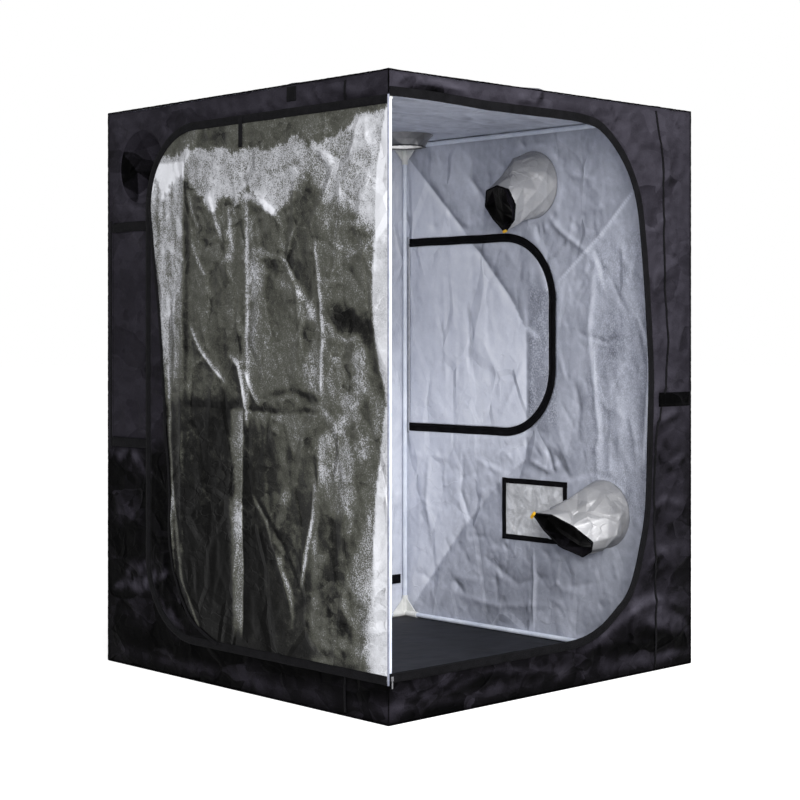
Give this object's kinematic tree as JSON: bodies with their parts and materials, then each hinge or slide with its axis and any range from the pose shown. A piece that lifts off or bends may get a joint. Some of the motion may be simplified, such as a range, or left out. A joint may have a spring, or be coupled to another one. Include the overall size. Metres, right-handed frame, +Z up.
{
  "type": "indoor grow tent",
  "caption": "Square tube-framed fabric grow tent with a reflective lining, a wide door swung open at one corner, side windows, drawstring duct sleeves and a screened vent.",
  "frame": {"origin": "centre of the floor panel's underside", "axes": "+Z up, -Y out through the doorway, +X towards the wall with the upper and lower duct sleeves and the screened vent"},
  "size_m": [1.5269, 1.5162, 2],
  "materials": {
    "white_tube": "powder coated, satin",
    "white_plastic": "satin",
    "black_cover": "woven nylon, slightly glossy",
    "silver_lining": "metallised film lining",
    "black_tape": "woven zip tape",
    "grey_liner": "coated fabric",
    "pale_screen": "fine mesh",
    "slider_metal": "dull",
    "yellow_plastic": "moulded"
  },
  "bodies": {
    "tent": {"connector_bottom_front_left": "white_plastic", "connector_top_front_left": "white_plastic", "upright_lower_front_left": "white_tube", "upright_upper_front_left": "white_tube", "connector_bottom_front_right": "white_plastic", "connector_top_front_right": "white_plastic", "upright_lower_front_right": "white_tube", "upright_upper_front_right": "white_tube", "connector_bottom_rear_left": "white_plastic", "connector_top_rear_left": "white_plastic", "upright_lower_rear_left": "white_tube", "upright_upper_rear_left": "white_tube", "connector_bottom_rear_right": "white_plastic", "connector_top_rear_right": "white_plastic", "upright_lower_rear_right": "white_tube", "upright_upper_rear_right": "white_tube", "top_rail_front_left_half": "white_tube", "top_rail_front_right_half": "white_tube", "top_rail_rear_left_half": "white_tube", "top_rail_rear_right_half": "white_tube", "top_rail_left_front_half": "white_tube", "top_rail_left_rear_half": "white_tube", "top_rail_right_front_half": "white_tube", "top_rail_right_rear_half": "white_tube", "bottom_rail_front": "white_tube", "front_wall": "black_cover", "bottom_rail_rear": "white_tube", "rear_wall": "black_cover", "bottom_rail_left": "white_tube", "left_wall": "black_cover", "bottom_rail_right": "white_tube", "right_wall": "black_cover", "roof_panel": "black_cover", "floor_panel": "black_cover", "floor_liner": "grey_liner", "doorway_zip_band": "black_tape", "door_hinge_piping": "black_tape", "left_window_zip_band": "black_tape", "right_window_zip_band": "black_tape", "vent_screen": "pale_screen", "vent_frame_band": "black_tape", "left_sleeve": "silver_lining", "right_upper_sleeve": "silver_lining", "right_lower_sleeve": "silver_lining", "roof_sleeve": "silver_lining", "roof_edge_tab": "black_tape", "front_fastening_patch": "black_tape", "liner_strap": "black_tape"},
    "door": {"door_panel": "silver_lining", "door_zip_band": "black_tape", "door_tie_strap": "black_tape"},
    "left_window": {"left_window_panel": "black_cover"},
    "right_window": {"right_window_panel": "silver_lining"},
    "vent_cover": {"vent_flap": "black_cover"},
    "door_slider": {"door_zip_slider": "slider_metal"},
    "left_window_slider": {"left_window_zip_slider": "slider_metal"},
    "right_window_slider": {"right_window_zip_slider": "slider_metal"},
    "upper_lock": {"upper_cord_lock": "yellow_plastic"},
    "lower_lock_a": {"lower_cord_lock_a": "yellow_plastic"},
    "lower_lock_b": {"lower_cord_lock_b": "yellow_plastic"}
  },
  "joints": [
    {"name": "door_swing", "type": "hinge", "parent": "tent", "child": "door", "pos_m": [-0.7639, -0.7639, 1], "axis": [0, 0, 1], "range_deg": [0, 270]},
    {"name": "left_window_swing", "type": "hinge", "parent": "tent", "child": "left_window", "pos_m": [-0.749, 0.72, 1.19], "axis": [0, 0, 1], "range_deg": [0, 90]},
    {"name": "right_window_swing", "type": "hinge", "parent": "tent", "child": "right_window", "pos_m": [0.749, 0.72, 1.19], "axis": [0, 0, 1], "range_deg": [0, 135]},
    {"name": "vent_flap_swing", "type": "hinge", "parent": "tent", "child": "vent_cover", "pos_m": [0.7523, 0.01, 0.365], "axis": [0, 1, 0], "range_deg": [0, 170]},
    {"name": "door_zip_slide", "type": "slide", "parent": "tent", "child": "door_slider", "axis": [1, 0, 0], "range_m": [0, 0.93]},
    {"name": "left_window_zip_slide", "type": "slide", "parent": "tent", "child": "left_window_slider", "axis": [0, 1, 0], "range_m": [-0.22, 0.31]},
    {"name": "right_window_zip_slide", "type": "slide", "parent": "tent", "child": "right_window_slider", "axis": [0, 1, 0], "range_m": [-0.22, 0.31]},
    {"name": "upper_lock_slide", "type": "slide", "parent": "tent", "child": "upper_lock", "axis": [-0.9589, -0.067, -0.2756], "range_m": [0, 0.025]},
    {"name": "lower_lock_a_slide", "type": "slide", "parent": "tent", "child": "lower_lock_a", "axis": [-0.8343, -0.389, -0.3907], "range_m": [0, 0.025]},
    {"name": "lower_lock_b_slide", "type": "slide", "parent": "tent", "child": "lower_lock_b", "axis": [-0.8343, -0.389, -0.3907], "range_m": [0, 0.025]}
  ]
}
